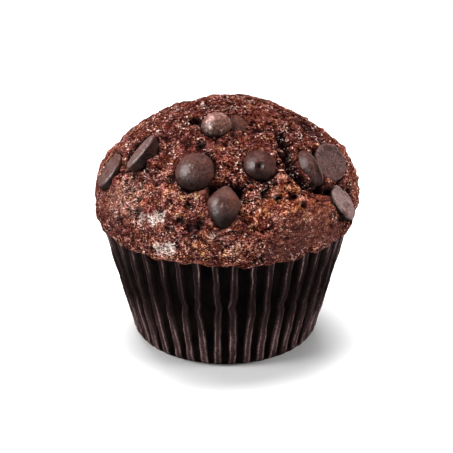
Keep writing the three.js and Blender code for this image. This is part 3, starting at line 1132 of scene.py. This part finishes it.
def chip_material():
    surface = Surface("melted_chocolate_chip")
    cloud = surface.speckle(3.5)
    grit = surface.patches(0.4, 0.34, 0.66, offset=0.7)
    colour = chocolate_colour(surface, cloud, grit)
    crumbs = surface.ramp(surface.speckle(0.7, detail=3.0, offset=0.6), CLINGING_TONES)
    colour = surface.mix(surface.math("MULTIPLY", surface.attribute("smear"), 0.8), colour, crumbs)
    shade = surface.math("MULTIPLY", surface.attribute("shade"), 0.94)
    colour = surface.mix(shade, colour, SHADE_COLOUR)
    roughness = surface.between(cloud, 0.3, 0.7, 0.26, 0.44)
    pitted = surface.total((0.6, surface.speckle(0.6, offset=0.9)), (0.4, grit))
    surface.bump(pitted, distance=0.14, strength=0.8)
    return surface.finish(colour, roughness, specular=0.90)


# ---- the object ----------------------------------------------

def place(piece, node, material, slot):
    """Gives a visible piece its material and its body, and hides the CAD node it stands for. slot is
    not used.
    """
    piece.data.materials.append(material)
    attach(piece, "root")
    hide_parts(node)


place(build_crumb(), "crumb", crumb_material(), "crumb")
place(build_case(), "paper_case", case_material(), "paper_case")
chocolate = chip_material()
for order, chip in enumerate(CHIPS, start=1):
    place(build_chip(chip, order), chip.node, chocolate, "chocolate")


# ---- floor, light and camera, in metres ----------------------

FLOOR_RADIUS = 0.38
FLOOR_SEGMENTS = 96
FLOOR_COLOUR = (0.93, 0.93, 0.93, 1)
WHITE = (1, 1, 1, 1)
AMBIENT = 0.05

VIEW_ELEVATION = math.radians(22.5)
VIEW_DISTANCE = 0.400
AIM_HEIGHT = 0.4563 * DOME_TOP * MM
AIM_SHIFT = 0.6 * CROWN_SHIFT * MM
LENS = 103.5
LAMP_AIM = Vector((0, 0, 0.04))


def floor_material():
    material = bpy.data.materials.new("pale_floor")
    material.use_nodes = True
    shader = material.node_tree.nodes["Principled BSDF"]
    shader.inputs["Base Color"].default_value = FLOOR_COLOUR
    shader.inputs["Roughness"].default_value = 0.9
    shader.inputs["Specular IOR Level"].default_value = 0.1
    return material


def build_floor():
    """A pale round floor, which isn't seen in reflections."""
    mesh = bpy.data.meshes.new("floor")
    turns = [2 * math.pi * i / FLOOR_SEGMENTS for i in range(FLOOR_SEGMENTS)]
    rim = [(FLOOR_RADIUS * math.cos(turn), FLOOR_RADIUS * math.sin(turn), 0) for turn in turns]
    mesh.from_pydata(rim, [], [tuple(range(FLOOR_SEGMENTS))])
    mesh.materials.append(floor_material())
    floor = bpy.data.objects.new("floor", mesh)
    bpy.context.scene.collection.objects.link(floor)
    floor.visible_glossy = False


def softbox(name, place, size, power, glossy):
    """A soft area light. One that isn't glossy lights surfaces without its own reflection."""
    light = bpy.data.lights.new(name, "AREA")
    light.shape = "RECTANGLE"
    light.size, light.size_y = size
    light.energy = power
    lamp = bpy.data.objects.new(name, light)
    lamp.location = place
    lamp.rotation_euler = (LAMP_AIM - Vector(place)).to_track_quat("-Z", "Y").to_euler()
    lamp.visible_glossy = glossy
    bpy.context.scene.collection.objects.link(lamp)


def build_world():
    """A faint light from all round, and a white backdrop that only the camera sees."""
    world = bpy.data.worlds.new("studio")
    bpy.context.scene.world = world
    world.use_nodes = True
    nodes, links = world.node_tree.nodes, world.node_tree.links
    ambient = nodes["Background"]
    ambient.inputs["Color"].default_value = WHITE
    ambient.inputs["Strength"].default_value = AMBIENT
    backdrop = nodes.new("ShaderNodeBackground")
    backdrop.inputs["Color"].default_value = WHITE
    seen = nodes.new("ShaderNodeLightPath")
    either = nodes.new("ShaderNodeMixShader")
    links.new(seen.outputs["Is Camera Ray"], either.inputs[0])
    links.new(ambient.outputs[0], either.inputs[1])
    links.new(backdrop.outputs[0], either.inputs[2])
    links.new(either.outputs[0], nodes["World Output"].inputs["Surface"])
    world.cycles_visibility.glossy = False


def build_camera():
    data = bpy.data.cameras.new("camera")
    data.lens = LENS
    camera = bpy.data.objects.new("camera", data)
    aim = Vector((AIM_SHIFT, 0, AIM_HEIGHT))
    back = Vector((0, -math.cos(VIEW_ELEVATION), math.sin(VIEW_ELEVATION)))
    camera.location = aim + VIEW_DISTANCE * back
    camera.rotation_euler = (-back).to_track_quat("-Z", "Y").to_euler()
    bpy.context.scene.collection.objects.link(camera)
    bpy.context.scene.camera = camera


build_floor()
softbox("key_left", (-0.58, -0.24, 0.30), (0.28, 0.44), 4.9, glossy=True)
softbox("top", (-0.03, 0.12, 0.62), (0.50, 0.42), 10.2, glossy=False)
softbox("fill_right", (0.55, -0.16, 0.20), (0.26, 0.26), 2.6, glossy=False)
build_world()
build_camera()
bpy.context.scene.view_settings.view_transform = "Standard"
